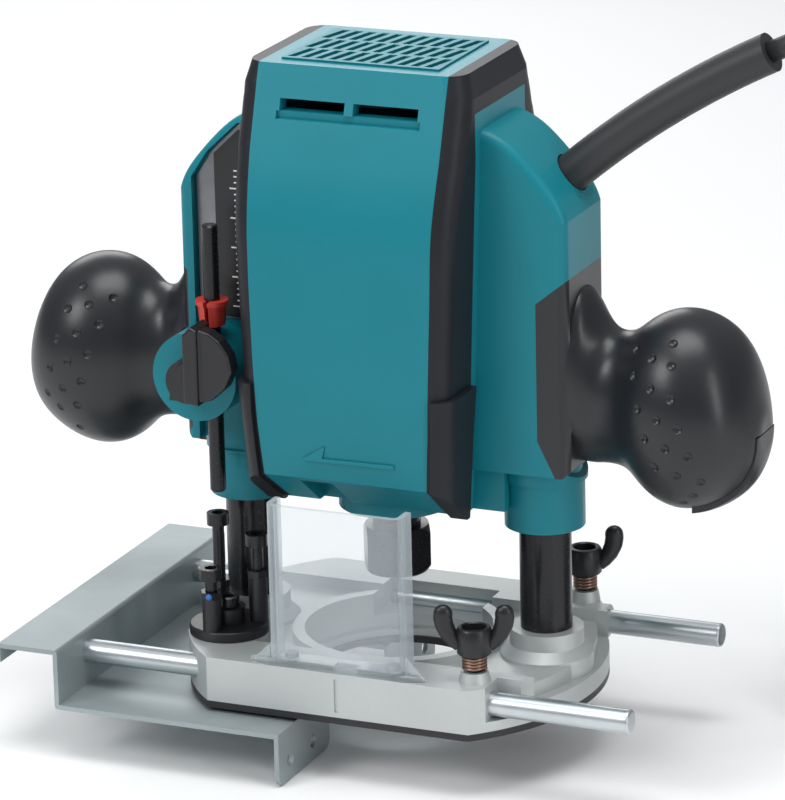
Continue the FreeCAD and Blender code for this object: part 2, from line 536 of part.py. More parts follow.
# ---- motor: bearings, armature, field, brushes ----
SHAFT_R = 6.0
UPPER_SHAFT_R = 4.0
FAN_Z = 92.0
CORE_Z = (118.0, 160.0)
COMMUTATOR_Z = (172.0, 184.0)
UPPER_BEARING_Z = 190.0
lower = ring((0, 0, 64.5), SHAFT_R, 14.0, 8.0)
save("lower_bearing", lower.cut(ring((0, 0, 64), 9.0, 11.5, 1.2)).cut(ring((0, 0, 71.8), 9.0, 11.5, 1.2)))
shaft = rod((0, 0, 53.2), SHAFT_R, 32.0).fuse(rod((0, 0, 84), UPPER_SHAFT_R, 113))
shaft = shaft.fuse(rod((0, 0, 73.5), 8.0, 6)).cut(Part.makeCone(3.2, 2.4, 20, V(0, 0, 53.2), Z))
save("spindle_shaft", shaft)
collet = Part.makeCone(6.0, 7.2, 13, V(0, 0, 40.0), Z).cut(rod((0, 0, 30), 4.0, 40))
for turn in (0, 60, 120):
    slot = box((-9, -0.4, 41), (9, 0.4, 51))
    slot.rotate(V(0, 0, 0), Z, turn)
    collet = collet.cut(slot)
save("collet_cone", collet)
nut = hexagon((0, 0, 36.5), 21.0, 16.0)
nut = nut.common(Part.makeCone(10.2, 15.0, 6.5, V(0, 0, 36.5), Z).fuse(rod((0, 0, 42.5), 14, 5))
                 .fuse(Part.makeCone(14.0, 10.6, 5.5, V(0, 0, 47.0), Z)))
nut = nut.fuse(rod((0, 0, 52.0), 8.0, 4.6)).cut(rod((0, 0, 36), 5.6, 5))
nut = nut.cut(Part.makeCone(6.05, 7.25, 13.0, V(0, 0, 40.0), Z)).cut(rod((0, 0, 53), SHAFT_R, 8))
save("collet_nut", nut)
save("armature_core", ring((0, 0, CORE_Z[0]), UPPER_SHAFT_R, 17.0, CORE_Z[1] - CORE_Z[0]))
end_turns = []
for low_z, high_z in ((108.0, CORE_Z[0]), (CORE_Z[1], 169.0)):
    turns = ring((0, 0, low_z), UPPER_SHAFT_R + 1.0, 15.5, high_z - low_z)
    end_turns.append(turns)
save("armature_windings", group(end_turns))
copper = ring((0, 0, COMMUTATOR_Z[0]), UPPER_SHAFT_R, 11.0, COMMUTATOR_Z[1] - COMMUTATOR_Z[0])
for number in range(12):
    groove = box((10.2, -0.3, COMMUTATOR_Z[0]), (12, 0.3, COMMUTATOR_Z[1]))
    groove.rotate(V(0, 0, 0), Z, 30 * number)
    copper = copper.cut(groove)
save("commutator", copper)
fan = ring((0, 0, FAN_Z), UPPER_SHAFT_R, 9.0, 11).fuse(ring((0, 0, FAN_Z), 8.5, 29.0, 1.6))
for number in range(18):
    blade = box((12.0, -0.7, FAN_Z + 1.5), (28.6, 0.7, FAN_Z + 11))
    blade.rotate(V(12, 0, 0), Z, 25)
    blade.rotate(V(0, 0, 0), Z, 20 * number)
    fan = fan.fuse(blade.common(rod((0, 0, 0), 29.0, 300)))
save("cooling_fan", fan)
baffle = ring((0, 0, 104.4), 20.0, 29.9, 2.0)
save("fan_baffle", baffle)
yoke = rod((0, 0, 116.0), 31.0, 46.0).common(box((-29, -31, 100), (29, 31, 200)))
yoke = yoke.cut(rod((0, 0, 110), 17.6, 60))
for side in (-1, 1):
    yoke = yoke.cut(ring((0, 0, 110), 17.0, 25.5, 60).common(box((side * 30 if side < 0 else 9, -13, 110),
                                                               (-9 if side < 0 else 30, 13, 170))))
save("field_core", yoke.removeSplitter())
coils = []
for side in (-1, 1):
    low_x, high_x = (-29, -9) if side < 0 else (9, 29)
    wound = ring((0, 0, 109.0), 18.4, 25.2, 60.0).common(box((low_x, -12.6, 100), (high_x, 12.6, 180)))
    coils.append(wound)
save("field_coils", group(coils))
save("upper_bearing", ring((0, 0, UPPER_BEARING_Z), UPPER_SHAFT_R, 9.5, 6.0))
bridge = box((-33.5, -26, 186), (33.5, 26, 189.5)).fuse(rod((0, 0, 186), 13.0, 11.0))
bridge = bridge.cut(rod((0, 0, 180), 7.0, 30)).cut(rod((0, 0, UPPER_BEARING_Z), 9.55, 20))
for side in (-1, 1):
    bridge = bridge.cut(box((side * 23 - 7, -20, 180), (side * 23 + 7, 20, 195)))
save("bearing_bridge", bridge)
holders = []
brushes = []
middle = (COMMUTATOR_Z[0] + COMMUTATOR_Z[1]) / 2
for side in (-1, 1):
    axis = Y * side
    start = V(0, side * 13.0, middle)
    outer_box = box((-5.5, min(side * 13, side * 30), middle - 5.5),
                    (5.5, max(side * 13, side * 30), middle + 5.5))
    inner_box = box((-3.6, min(side * 10, side * 28), middle - 3.6),
                    (3.6, max(side * 10, side * 28), middle + 3.6))
    holders.append(outer_box.cut(inner_box))
    block = box((-3.5, min(side * 11.2, side * 24), middle - 3.5),
                (3.5, max(side * 11.2, side * 24), middle + 3.5))
    brushes.append(block)
save("brush_holders", group(holders))
save("carbon_brushes", group(brushes))

# ---- depth stop: rod, pointer, clamp knob and scale ----
rod_x, rod_y = DEPTH_ROD_XY
depth_rod = rod((rod_x, rod_y, 66.0), DEPTH_ROD_R, 91.0)
depth_rod = depth_rod.makeChamfer(0.5, [e for e in depth_rod.Edges if e.Closed])
save("depth_rod", depth_rod)
POINTER_Z = 123.2
pointer = Part.makeCone(4.2, 4.8, 7.0, V(rod_x, rod_y, POINTER_Z), Z)
pointer = pointer.fuse(rod((rod_x, rod_y, POINTER_Z + 7.0), 5.4, 1.5))
pointer = pointer.cut(rod((rod_x, rod_y, POINTER_Z - 1), DEPTH_ROD_R + RUN, 12))
pointer = pointer.cut(box((rod_x - 0.7, rod_y - 8, 120), (rod_x + 0.7, rod_y - 2, 140)))
save("depth_pointer", pointer)
clamp_knob = rod((CLAMP_X, CLAMP_FACE_Y - 6.3, CLAMP_Z), 7.4, 6.0, Y)
clamp_knob = clamp_knob.fuse(rod((CLAMP_X, CLAMP_FACE_Y - 0.4, CLAMP_Z), 2.1, 12.0, Y))
# Its lever is swung up and to the right: a raised rib, then a rounded paddle.
rib = slab_xz([(2.8, -4.5), (8.0, -5.0), (8.0, 20.5), (5.8, 21.5), (2.8, 18.5)],
              CLAMP_FACE_Y - 14.5, CLAMP_FACE_Y - 4.0)
paddle = slab_xz([(7.5, -4.5), (12, -3.2), (17, 1.4), (19.6, 7.0), (18.6, 12.5), (15.5, 17.0), (11.5, 19.6),
                  (7.5, 20.5)], CLAMP_FACE_Y - 12.8, CLAMP_FACE_Y - 7.6)
lever = rib.fuse(paddle)
lever = lever.fuse(slab_xz([(-4, -5), (4, -5), (4, 9), (-2, 6)], CLAMP_FACE_Y - 11.0, CLAMP_FACE_Y - 6.2))
lever.translate(V(CLAMP_X, 0, CLAMP_Z))
clamp_knob = clamp_knob.fuse(lever).removeSplitter()
clamp_knob = round_edges(clamp_knob, 0.8, lambda e: abs(e.tangentAt(e.FirstParameter).y) < 0.1
                         and e.Vertexes[0].Point.y < CLAMP_FACE_Y - 11.9
                         and e.Vertexes[-1].Point.y < CLAMP_FACE_Y - 11.9)
save("depth_clamp_knob", clamp_knob)
PLATE_Y = (-13.9, -13.05)
save("depth_scale_plate", slab_xz([(-62.5, 122), (-40.3, 122), (-40.3, 189), (-46.2, 188.4),
                                   (-56.7, 178.3), (-62.5, 169.2)], *PLATE_Y))

# ---- plunge lock lever at the back of the left sleeve ----
LEVER_Z = 71.0
lever_base_y = WING_HALF_Y + 1.0
lever = rod((-COLUMN_X, lever_base_y, LEVER_Z), 7.5, 6.0, Y)
lever = lever.fuse(box((-COLUMN_X - 27.0, lever_base_y + 0.8, LEVER_Z - 4.0),
                       (-COLUMN_X, lever_base_y + 5.2, LEVER_Z + 4.0)))
lever = lever.fuse(rod((-COLUMN_X - 27.0, lever_base_y + 0.8, LEVER_Z), 4.0, 4.4, Y))
save("lock_lever", lever.removeSplitter().cut(rod((-COLUMN_X, 10, LEVER_Z), 3.05, 30, Y)))
pivot = rod((-COLUMN_X, 12.0, LEVER_Z), 3.0, lever_base_y + 6.2 - 12.0, Y)
save("lock_lever_screw", pivot.fuse(rod((-COLUMN_X, lever_base_y + 6.2, LEVER_Z), 5.0, 2.0, Y)))

# ---- housing screws from behind ----
fasteners = []
for post_x, post_z, seat_y in SCREW_POSTS:
    fasteners.append(pan_screw((post_x, seat_y, post_z), V(0, -1, 0), 3.6, 1.6, seat_y + 12.0))
save("housing_screws", group(fasteners))

# ---- cord guard, cord, coil and plug ----
CORD_R = 3.5
FLOOR_Z = LIP_BOTTOM


def route_pipe(points, radius, label):
    """Round tube along straight runs joined by tangent arcs."""
    points = [V(*p) for p in points]
    edges = []
    radii = []
    length = 0.0
    last = points[0]
    for i in range(1, len(points) - 1):
        before = points[i] - points[i - 1]
        after = points[i + 1] - points[i]
        turn = before.getAngle(after)
        trim = 0.45 * min(before.Length, after.Length)
        radii.append(trim / math.tan(turn / 2))
        a = points[i] - before.normalize() * trim
        b = points[i] + after.normalize() * trim
        bisector = (a + b) * 0.5 - points[i]
        bisector.normalize()
        to_centre = math.hypot(trim, radii[-1])
        middle = points[i] + bisector * (to_centre - radii[-1])
        edges.append(Part.LineSegment(last, a).toShape())
        edges.append(Part.Arc(a, middle, b).toShape())
        last = b
    edges.append(Part.LineSegment(last, points[-1]).toShape())
    wire = Part.Wire(edges)
    first = points[1] - points[0]
    profile = Part.Wire(Part.Circle(points[0], first, radius).toShape())
    tube = wire.makePipeShell([profile], True, False)
    expected = math.pi * radius ** 2 * wire.Length
    print(label, "length", round(wire.Length), "radii", [round(r) for r in radii],
          "volume ratio", round(tube.Volume / expected, 4))
    return tube


guard_points = []
bend_r = GUARD_LENGTH / math.radians(GUARD_TURN)
side_axis = V(math.sin(math.radians(GUARD_TILT)), 0, -math.cos(math.radians(GUARD_TILT)))
for share in (0.0, 0.5, 1.0):
    angle = math.radians(GUARD_TURN) * share
    guard_points.append(GUARD_START + guard_axis * (bend_r * math.sin(angle))
                        + side_axis * (bend_r * (1 - math.cos(angle))))
guard_arc = Part.Arc(*guard_points).toShape()
sections = [Part.Wire(Part.Circle(guard_points[0], guard_axis, 6.5).toShape())]
exit_axis = guard_arc.tangentAt(guard_arc.LastParameter)
guard = Part.Wire(guard_arc).makePipeShell(sections, True, False)
guard = guard.cut(Part.Wire(guard_arc).makePipeShell(
    [Part.Wire(Part.Circle(guard_points[0], guard_axis, CORD_R + 0.05).toShape())], True, False))
save("cord_guard", guard)
EXIT = guard_points[2]
print("exit", EXIT, exit_axis)

CORD_ROUTE = [
    (EXIT.x, EXIT.y, EXIT.z), (150.6, 6.6, 231.4), (174.6, 8.5, 230.7), (195.2, 11.5, 218.9),
    (207.2, 15.5, 197.8), (209.8, 19.5, 162.0), (209.3, 23.5, 114.0), (208.5, 27.5, 70.0),
    (208.0, 32.0, 34.0), (207.0, 40.5, 9.0), (206.0, 57.0, -9.5), (205.7, 80.0, -16.1)]
COIL_CENTRE = (162.2, 80.0)
COIL_MID_R = 40.0
COIL_LAYERS = 3
coil_h = COIL_LAYERS * 2 * CORD_R + 0.3
coil = ring((COIL_CENTRE[0], COIL_CENTRE[1], FLOOR_Z), COIL_MID_R - 2 * CORD_R - 0.2,
            COIL_MID_R + 2 * CORD_R + 0.2, coil_h)
save("cord_coil", coil)
save("cord_tube", route_pipe(CORD_ROUTE, CORD_R, "cord").cut(coil))
# The lead's last stretch rises from the top layer and turns in to the plug lying on the coil.
TAIL_ROUTE = [(184.7, 42.4, -2.1)]
TAIL_CENTRE = (COIL_CENTRE[0] + 1.8, COIL_CENTRE[1] - 1.8)
for corner, height in zip((-30, 0, 30, 60, 90), (-1.6, 1.0, 5.5, 9.3, 10.4)):
    angle = math.radians(corner)
    TAIL_ROUTE.append((TAIL_CENTRE[0] + 41.4 * math.cos(angle), TAIL_CENTRE[1] + 41.4 * math.sin(angle),
                       height))
TAIL_ROUTE.append((TAIL_ROUTE[-1][0] - 20.7, TAIL_ROUTE[-1][1] - 5.5, 10.4))
save("cord_tail", route_pipe(TAIL_ROUTE, CORD_R, "tail"))
plug_axis = V(*TAIL_ROUTE[-1]) - V(*TAIL_ROUTE[-2])
plug_axis.normalize()
PLUG_AT = V(*TAIL_ROUTE[-1]) - plug_axis * 14.0
relief = Part.makeCone(4.2, 6.5, 14.0, PLUG_AT, plug_axis)
plug = relief.fuse(Part.makeCylinder(8.6, 22.0, PLUG_AT + plug_axis * 14.0, plug_axis))
plug_side = V(-plug_axis.y, plug_axis.x, 0)
for side in (-1, 1):
    pin_base = PLUG_AT + plug_axis * 36.0 + plug_side * (4.75 * side)
    plug = plug.fuse(Part.makeCylinder(2.0, 18.0, pin_base, plug_axis))
save("plug", plug)
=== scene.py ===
import math
import bmesh
import bpy
from mathutils import Matrix, Vector
from mathutils.bvhtree import BVHTree


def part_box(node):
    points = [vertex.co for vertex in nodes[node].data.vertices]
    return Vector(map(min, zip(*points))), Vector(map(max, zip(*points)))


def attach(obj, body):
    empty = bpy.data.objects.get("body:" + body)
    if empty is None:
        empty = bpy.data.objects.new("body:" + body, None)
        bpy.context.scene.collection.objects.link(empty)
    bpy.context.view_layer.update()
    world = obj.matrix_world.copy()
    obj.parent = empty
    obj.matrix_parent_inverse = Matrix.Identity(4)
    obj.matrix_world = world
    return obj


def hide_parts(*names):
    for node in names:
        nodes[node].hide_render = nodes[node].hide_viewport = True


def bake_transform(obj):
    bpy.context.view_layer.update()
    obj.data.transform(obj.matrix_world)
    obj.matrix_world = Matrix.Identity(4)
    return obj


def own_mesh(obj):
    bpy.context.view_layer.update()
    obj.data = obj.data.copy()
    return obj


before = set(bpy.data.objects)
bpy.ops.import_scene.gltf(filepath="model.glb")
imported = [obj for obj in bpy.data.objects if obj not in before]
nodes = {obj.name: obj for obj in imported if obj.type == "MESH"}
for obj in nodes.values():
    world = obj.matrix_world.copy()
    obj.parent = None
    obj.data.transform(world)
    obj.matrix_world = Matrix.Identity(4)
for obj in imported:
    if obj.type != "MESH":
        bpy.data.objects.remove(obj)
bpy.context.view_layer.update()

# ------------------------------------------------------------------ studio
# A long lens from the right-hand front, a little above, with a slight tilt of the hand.
# The router stands on a pale table that runs off into a white room.

VIEW_AZIMUTH = math.radians(23.8)
VIEW_ELEVATION = math.radians(17.5)
VIEW_ROLL = math.radians(1.34)
VIEW_DISTANCE = 1.689
VIEW_TARGET = Vector((-0.0005, 0.0, 0.0949))

away = Vector((
    math.sin(VIEW_AZIMUTH) * math.cos(VIEW_ELEVATION),
    -math.cos(VIEW_AZIMUTH) * math.cos(VIEW_ELEVATION),
    math.sin(VIEW_ELEVATION)))
level_right = Vector((math.cos(VIEW_AZIMUTH), math.sin(VIEW_AZIMUTH), 0.0))
level_up = away.cross(level_right)
right = level_right * math.cos(VIEW_ROLL) - level_up * math.sin(VIEW_ROLL)
up = away.cross(right)
camera_data = bpy.data.cameras.new("camera")
camera_data.lens = 231.2
camera_data.clip_end = 20.0
camera = bpy.data.objects.new("camera", camera_data)
bpy.context.scene.collection.objects.link(camera)
camera.matrix_world = Matrix((
    (right.x, up.x, away.x, VIEW_TARGET.x + away.x * VIEW_DISTANCE),
    (right.y, up.y, away.y, VIEW_TARGET.y + away.y * VIEW_DISTANCE),
    (right.z, up.z, away.z, VIEW_TARGET.z + away.z * VIEW_DISTANCE),
    (0, 0, 0, 1)))
bpy.context.scene.camera = camera


def softbox(name, place, aim, size, power):
    """An area light at place, turned to aim."""
    data = bpy.data.lights.new(name, "AREA")
    data.shape = "RECTANGLE"
    data.size, data.size_y = size
    data.energy = power
    lamp = bpy.data.objects.new(name, data)
    bpy.context.scene.collection.objects.link(lamp)
    lamp.location = place
    lamp.rotation_euler = (Vector(aim) - Vector(place)).to_track_quat("-Z", "Y").to_euler()
    return lamp


HEART = (0.0, 0.0, 0.1)
softbox("key_softbox", (-0.75, -1.1, 1.0), HEART, (0.55, 0.55), 7.6)
softbox("top_softbox", (0.1, -0.15, 1.25), HEART, (0.9, 0.6), 9.0)
softbox("right_strip", (1.15, -0.5, 0.5), HEART, (0.12, 0.9), 3.2)
softbox("back_strip", (-0.7, 1.0, 0.6), HEART, (0.8, 0.5), 3.5)

world = bpy.data.worlds.new("room")
world.use_nodes = True
room = world.node_tree
room_way = room.nodes.new("ShaderNodeTexCoord")
room_split = room.nodes.new("ShaderNodeSeparateXYZ")
room_shade = room.nodes.new("ShaderNodeValToRGB")
room.links.new(room_way.outputs["Generated"], room_split.inputs["Vector"])
room.links.new(room_split.outputs["Z"], room_shade.inputs["Fac"])
room_shade.color_ramp.elements[0].position = 0.0
room_shade.color_ramp.elements[0].color = (0.26, 0.28, 0.29, 1.0)
room_shade.color_ramp.elements[1].position = 0.75
room_shade.color_ramp.elements[1].color = (0.78, 0.80, 0.82, 1.0)
room_mid = room_shade.color_ramp.elements.new(0.28)
room_mid.color = (0.46, 0.48, 0.50, 1.0)
room.links.new(room_shade.outputs["Color"], room.nodes["Background"].inputs["Color"])
room.nodes["Background"].inputs["Strength"].default_value = 0.62
bpy.context.scene.world = world
bpy.context.scene.view_settings.view_transform = "Standard"

FLOOR_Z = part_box("guide_fence")[0].z
table_mesh = bpy.data.meshes.new("table")
table_mesh.from_pydata([(-6, -6, FLOOR_Z - 0.0004), (6, -6, FLOOR_Z - 0.0004), (6, 6, FLOOR_Z - 0.0004),
                        (-6, 6, FLOOR_Z - 0.0004)], [], [(0, 1, 2, 3)])
table = bpy.data.objects.new("table", table_mesh)
bpy.context.scene.collection.objects.link(table)
table_paint = bpy.data.materials.new("table_paint")
table_paint.use_nodes = True
table_paint.node_tree.nodes["Principled BSDF"].inputs["Base Color"].default_value = (0.97, 0.97, 0.97, 1)
table_paint.node_tree.nodes["Principled BSDF"].inputs["Roughness"].default_value = 0.6
table_mesh.materials.append(table_paint)

# ------------------------------------------------------------------ lead
# Rubber lead, seven millimetres thick and a little under two metres long. It leaves the guard,
# drops to the table beside the machine, and the spare length is wound into a coil of six turns.


def finish(name, colour, roughness, metallic=0.0, grain=900.0, depth=0.00002, mottle=0.08, streak=None,
           sheen=0.5):
    """A finish with its own fine relief, cloudy colour and uneven gloss."""
    paint = bpy.data.materials.new(name)
    paint.use_nodes = True
    tree = paint.node_tree
    shader = tree.nodes["Principled BSDF"]
    shader.inputs["Metallic"].default_value = metallic
    shader.inputs["Specular IOR Level"].default_value = sheen
    place = tree.nodes.new("ShaderNodeTexCoord")
    stretch = tree.nodes.new("ShaderNodeMapping")
    stretch.inputs["Scale"].default_value = streak or (1, 1, 1)
    tree.links.new(place.outputs["Object"], stretch.inputs["Vector"])
    fine = tree.nodes.new("ShaderNodeTexNoise")
    fine.inputs["Scale"].default_value = grain
    fine.inputs["Detail"].default_value = 3.0
    tree.links.new(stretch.outputs["Vector"], fine.inputs["Vector"])
    cloud = tree.nodes.new("ShaderNodeTexNoise")
    cloud.inputs["Scale"].default_value = 28.0
    cloud.inputs["Detail"].default_value = 4.0
    tree.links.new(place.outputs["Object"], cloud.inputs["Vector"])
    tint = tree.nodes.new("ShaderNodeValToRGB")
    dark = [c * (1 - mottle) for c in colour]
    light = [min(1.0, c * (1 + mottle)) for c in colour]
    tint.color_ramp.elements[0].position = 0.3
    tint.color_ramp.elements[1].position = 0.7
    tint.color_ramp.elements[0].color = (*dark, 1)
    tint.color_ramp.elements[1].color = (*light, 1)
    tree.links.new(cloud.outputs["Fac"], tint.inputs["Fac"])
    tree.links.new(tint.outputs["Color"], shader.inputs["Base Color"])
    gloss = tree.nodes.new("ShaderNodeMapRange")
    gloss.inputs["To Min"].default_value = roughness - 0.07
    gloss.inputs["To Max"].default_value = roughness + 0.09
    tree.links.new(fine.outputs["Fac"], gloss.inputs["Value"])
    tree.links.new(gloss.outputs["Result"], shader.inputs["Roughness"])
    relief = tree.nodes.new("ShaderNodeBump")
    relief.inputs["Strength"].default_value = 1.0
    relief.inputs["Distance"].default_value = depth
    tree.links.new(fine.outputs["Fac"], relief.inputs["Height"])
    tree.links.new(relief.outputs["Normal"], shader.inputs["Normal"])
    return paint


def wear(paint, *names):
    """Gives these CAD parts this finish."""
    for name in names:
        mesh = nodes[name].data
        mesh.materials.clear()
        mesh.materials.append(paint)


CORD_R = 0.0035
LEAD_ROUTE = [
    (0.1290, 0.0060, 0.2208), (0.1506, 0.0066, 0.2314), (0.1746, 0.0085, 0.2307), (0.1952, 0.0115, 0.2189),
    (0.2072, 0.0155, 0.1978), (0.2098, 0.0195, 0.1620), (0.2093, 0.0235, 0.1140), (0.2085, 0.0275, 0.0700),
    (0.2080, 0.0320, 0.0340), (0.2070, 0.0405, 0.0090), (0.2060, 0.0570, -0.0095), (0.2059, 0.0710, -0.0150)]
COIL_AT = (0.1622, 0.0800)
COIL_TURNS = 6
TURN_POINTS = 16
COIL_OUTER_R = 0.0436
COIL_INNER_R = 0.0364
LAYER_RISE = 0.0071
for step in range(COIL_TURNS * TURN_POINTS + 1):
    turns = step / TURN_POINTS
    # Two turns make a layer: one at the outer radius, then one at the inner, and back on the next.
    layer = int(min(turns, COIL_TURNS - 0.001) // 2)
    inward = min(turns, COIL_TURNS - 0.001) % 2
    drift = min(1.0, max(0.0, inward - 0.45) / 0.6)
    if layer % 2 == 1:
        drift = 1.0 - drift
    turn_r = COIL_OUTER_R - (COIL_OUTER_R - COIL_INNER_R) * drift
    climb = min(1.0, max(0.0, inward - 1.75) / 0.25) * (layer < 2)
    turn_angle = 2 * math.pi * turns
    LEAD_ROUTE.append((
        COIL_AT[0] + turn_r * math.cos(turn_angle),
        COIL_AT[1] + turn_r * math.sin(turn_angle),
        FLOOR_Z + CORD_R + LAYER_RISE * (layer + climb)))
LOOSE_END_R = 0.0408
LOOSE_END_SHIFT = 0.0018
PLUG_HEIGHT = 0.0104
for corner, height in zip((22, 45, 67, 90), (0.0004, 0.0040, 0.0085, PLUG_HEIGHT)):
    bend = math.radians(corner)
    LEAD_ROUTE.append((
        COIL_AT[0] + LOOSE_END_SHIFT + LOOSE_END_R * math.cos(bend),
        COIL_AT[1] - LOOSE_END_SHIFT + LOOSE_END_R * math.sin(bend),
        height))
LEAD_ROUTE.append((LEAD_ROUTE[-1][0] - 0.0082, LEAD_ROUTE[-1][1] - 0.0022, PLUG_HEIGHT))


def smooth_route(name, points):
    """The points that a lead really follows: its control points, smoothed."""
    curve = bpy.data.curves.new(name, "CURVE")
    curve.dimensions = "3D"
    curve.resolution_u = 6
    spline = curve.splines.new("NURBS")
    spline.points.add(len(points) - 1)
    for point, place in zip(spline.points, points):
        point.co = (*place, 1.0)
    spline.order_u = 3
    spline.use_endpoint_u = True
    holder = bpy.data.objects.new(name, curve)
    bpy.context.scene.collection.objects.link(holder)
    bpy.context.view_layer.update()
    line = bpy.data.meshes.new_from_object(holder)
    followed = [vertex.co.copy() for vertex in line.vertices]
    bpy.data.objects.remove(holder)
    return followed


def new_piece(name, mesh_data, body, paint, smooth=True):
    """A piece of the machine from (points, faces), riding on its body."""
    mesh = bpy.data.meshes.new(name)
    mesh.from_pydata(mesh_data[0], [], mesh_data[1])
    mesh.validate()
    helper = bmesh.new()
    helper.from_mesh(mesh)
    bmesh.ops.recalc_face_normals(helper, faces=helper.faces)
    helper.to_mesh(mesh)
    helper.free()
    for face in mesh.polygons:
        face.use_smooth = smooth
    mesh.materials.append(paint)
    piece = bpy.data.objects.new(name, mesh)
    bpy.context.scene.collection.objects.link(piece)
    if body:
        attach(piece, body)
    return piece


def tube_along(points, radius_at, sides):
    """Points and faces of a closed tube along a line; radius_at is given the share of its length."""
    lengths = [0.0]
    for a, b in zip(points, points[1:]):
        lengths.append(lengths[-1] + (b - a).length)
    verts, faces = [], []
    across = None
    for i, point in enumerate(points):
        ahead = (points[min(i + 1, len(points) - 1)] - points[max(i - 1, 0)]).normalized()
        if across is None:
            across = ahead.orthogonal().normalized()
        across = (across - ahead * across.dot(ahead)).normalized()
        third = ahead.cross(across)
        radius = radius_at(lengths[i] / lengths[-1])
        for k in range(sides):
            angle = 2 * math.pi * k / sides
            verts.append(point + (across * math.cos(angle) + third * math.sin(angle)) * radius)
    for i in range(len(points) - 1):
        for k in range(sides):
            a, b = i * sides + k, i * sides + (k + 1) % sides
            faces.append((a, b, b + sides, a + sides))
    faces.append(tuple(range(sides - 1, -1, -1)))
    faces.append(tuple(len(verts) - sides + k for k in range(sides)))
    return verts, faces


rubber_lead = finish("lead_rubber", (0.028, 0.028, 0.031), 0.48, grain=1400.0, depth=0.00001)
lead_line = smooth_route("lead_route", LEAD_ROUTE)
lead = new_piece("lead", tube_along(lead_line, lambda share: CORD_R, 20), None, rubber_lead)
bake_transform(lead)
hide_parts("cord_tube", "cord_coil", "cord_tail")
wear(rubber_lead, "plug", "cord_guard", "cord_tube", "cord_coil", "cord_tail")

# ------------------------------------------------------------------ base
# Blasted aluminium casting, machined where it carries the columns and the rods, with a smooth
# black sole plate held on underneath by countersunk screws.
sole_black = finish("sole_sheet", (0.014, 0.014, 0.016), 0.42, grain=900.0, depth=0.00001)
cast = finish("blasted_casting", (0.55, 0.57, 0.57), 0.50, metallic=0.55, grain=1250.0, depth=0.00005,
              mottle=0.05)
wear(sole_black, "sole_plate")
wear(cast, "base_casting")

# ------------------------------------------------------------------ straight guide
# A steel fence, folded from sheet and zinc plated, on two round rods of ground steel that
# slide in the base. The same plating is on the small screws of the machine.
zinc = finish("zinc_plate", (0.36, 0.41, 0.42), 0.50, metallic=0.50, grain=260.0, depth=0.000006,
              mottle=0.10, streak=(0.3, 5.0, 1.0), sheen=0.35)
bright = finish("ground_steel", (0.56, 0.60, 0.62), 0.34, metallic=0.95, grain=900.0, depth=0.000004,
                streak=(0.2, 1, 1))
wear(zinc, "guide_fence", "sole_screws", "deflector_screws", "housing_screws")
wear(bright, "guide_rods")

# ------------------------------------------------------------------ columns
# Two hollow steel columns with a black oxide finish, pressed into the base. The motor unit
# slides on them in four sintered bronze bushes.
oxide = finish("black_oxide", (0.018, 0.018, 0.021), 0.24, metallic=0.4, grain=900.0, depth=0.000004)
bronze = finish("sintered_bronze", (0.42, 0.27, 0.12), 0.4, metallic=0.9)
wear(oxide, "column_left", "column_right")
wear(bronze, "column_bushes")

# ------------------------------------------------------------------ plunge springs
# A long coil of dull wire inside each column lifts the motor unit. Its foot stands in the
# base, and it shortens by the whole stroke as the handles are pushed down.
spring_wire = finish("spring_wire", (0.30, 0.19, 0.14), 0.30, metallic=0.9)
wear(spring_wire, "plunge_spring_left", "plunge_spring_right")
PLUNGE_WIRE_R = 0.0009
PLUNGE_TURNS = 24
PLUNGE_STEPS = 20
for node in ("plunge_spring_left", "plunge_spring_right"):
    low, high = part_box(node)
    middle = ((low.x + high.x) / 2, (low.y + high.y) / 2)
    mean_r = (high.x - low.x) / 2 - PLUNGE_WIRE_R
    wire_line = []
    for step in range(PLUNGE_TURNS * PLUNGE_STEPS + 1):
        turn_angle = 2 * math.pi * step / PLUNGE_STEPS
        rise = (high.z - low.z - 2 * PLUNGE_WIRE_R) * step / (PLUNGE_TURNS * PLUNGE_STEPS)
        wire_line.append(Vector((
            middle[0] + mean_r * math.cos(turn_angle),
            middle[1] + mean_r * math.sin(turn_angle),
            low.z + PLUNGE_WIRE_R + rise)))
    coil = new_piece(node + "_coil", tube_along(wire_line, lambda share: PLUNGE_WIRE_R, 8), "base",
                     spring_wire)
    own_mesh(coil)
    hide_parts(node)

# ------------------------------------------------------------------ motor housing
# Two moulded shells in satin teal, front and rear, screwed together from behind.
# Their wings hold the columns and the roots of the grips.
teal = finish("teal_moulding", (0.008, 0.200, 0.250), 0.34, grain=1500.0, depth=0.000010, mottle=0.03,
              sheen=0.24)
wear(teal, "housing_front", "housing_rear")

# ------------------------------------------------------------------ top grille
# A louvred teal moulding set into the top of the housing, where the cooling air goes in.
# It is a little duller than the shells.
grille_teal = finish("grille_moulding", (0.008, 0.190, 0.235), 0.38, grain=1300.0, depth=0.000012,
                     mottle=0.04, sheen=0.2)
wear(grille_teal, "top_vent_grille")

# ------------------------------------------------------------------ bumpers
# Black rubber bands over both sides of the housing, with a thicker block at the foot
# of each.
band_rubber = finish("band_rubber", (0.0165, 0.0178, 0.0220), 0.42, grain=1700.0, depth=0.000014, sheen=0.22)
wear(band_rubber, "bumper_left", "bumper_right")

